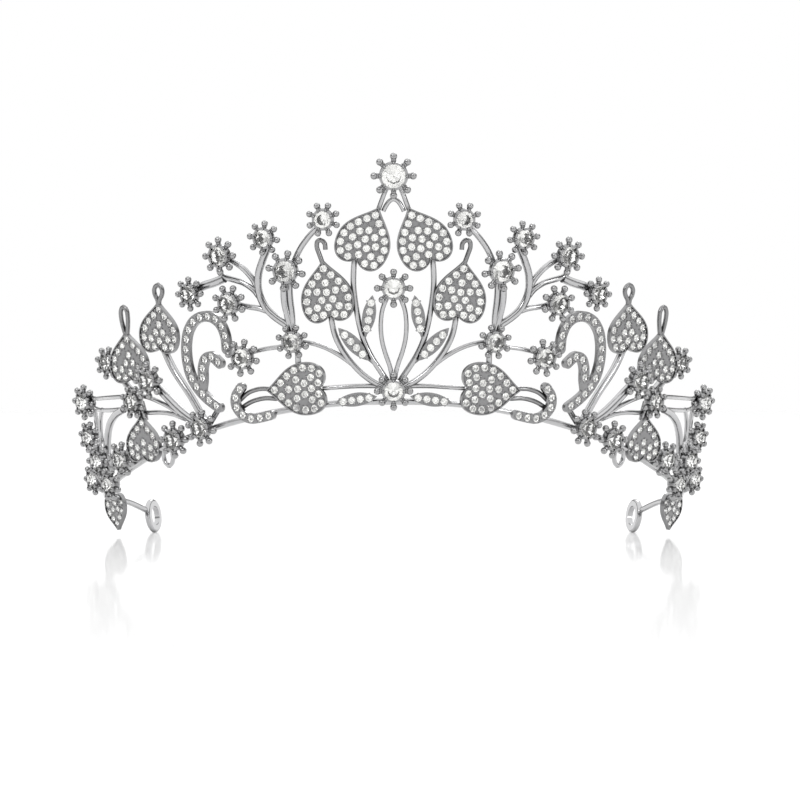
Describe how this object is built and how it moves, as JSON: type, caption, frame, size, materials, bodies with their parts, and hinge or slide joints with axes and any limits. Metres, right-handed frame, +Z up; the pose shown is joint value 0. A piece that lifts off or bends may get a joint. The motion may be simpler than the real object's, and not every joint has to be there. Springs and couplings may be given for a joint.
{
  "type": "bridal tiara",
  "caption": "Silver-tone bridal tiara: an arched openwork wall of leaf sprays, scrolls and claw-set clear stones on a head band that ends in loops for pins or ribbon.",
  "frame": {"origin": "on the surface that the tiara stands on, under the middle of its outline", "axes": "+X towards the wearer's left, -Y out of the front of the tiara, +Z up"},
  "size_m": [0.1614, 0.1232, 0.091],
  "materials": {
    "band_metal": "bright rhodium-coloured plating on drawn wire",
    "stem_metal": "bright rhodium-coloured plating on cast stems",
    "leaf_metal": "bright plating, slightly darker between the small stones",
    "scroll_metal": "bright plating",
    "setting_metal": "bright plating on claws and ball tips",
    "centre_stone": "clear faceted foil-backed glass",
    "flower_stone": "clear faceted foil-backed glass",
    "pave_stone": "clear small faceted glass"
  },
  "bodies": {
    "root": {"base_band": "band_metal", "base_bar": "stem_metal", "base_flower": "setting_metal", "base_stone": "centre_stone", "branch_flowers_l": "setting_metal", "branch_flowers_r": "setting_metal", "branch_l": "stem_metal", "branch_r": "stem_metal", "branch_stones_l": "flower_stone", "branch_stones_r": "flower_stone", "centre_oval": "stem_metal", "corner_curl_l": "scroll_metal", "corner_curl_r": "scroll_metal", "crest_flower": "setting_metal", "crest_fork": "stem_metal", "crest_stone": "centre_stone", "crown_leaf_l": "leaf_metal", "crown_leaf_r": "leaf_metal", "end_leaf_l": "leaf_metal", "end_leaf_r": "leaf_metal", "end_loop_l": "band_metal", "end_loop_r": "band_metal", "fore_leaf_l": "leaf_metal", "fore_leaf_r": "leaf_metal", "front_rail": "band_metal", "heart_flower": "setting_metal", "heart_stone": "centre_stone", "leaf_stones_l": "pave_stone", "leaf_stones_r": "pave_stone", "leaflets_l": "leaf_metal", "leaflets_r": "leaf_metal", "low_leaf_l": "leaf_metal", "low_leaf_r": "leaf_metal", "lower_leaf_l": "leaf_metal", "lower_leaf_r": "leaf_metal", "rear_leaf_l": "leaf_metal", "rear_leaf_r": "leaf_metal", "scroll_l": "scroll_metal", "scroll_r": "scroll_metal", "side_flowers_l": "setting_metal", "side_flowers_r": "setting_metal", "side_leaf_stones_l": "pave_stone", "side_leaf_stones_r": "pave_stone", "side_spray_l": "stem_metal", "side_spray_r": "stem_metal", "side_stem_l": "stem_metal", "side_stem_r": "stem_metal", "side_stones_l": "flower_stone", "side_stones_r": "flower_stone", "tall_stem_l": "stem_metal", "tall_stem_r": "stem_metal", "trim_stones_l": "pave_stone", "trim_stones_r": "pave_stone", "upright_leaf_l": "leaf_metal", "upright_leaf_r": "leaf_metal"}
  },
  "joints": []
}
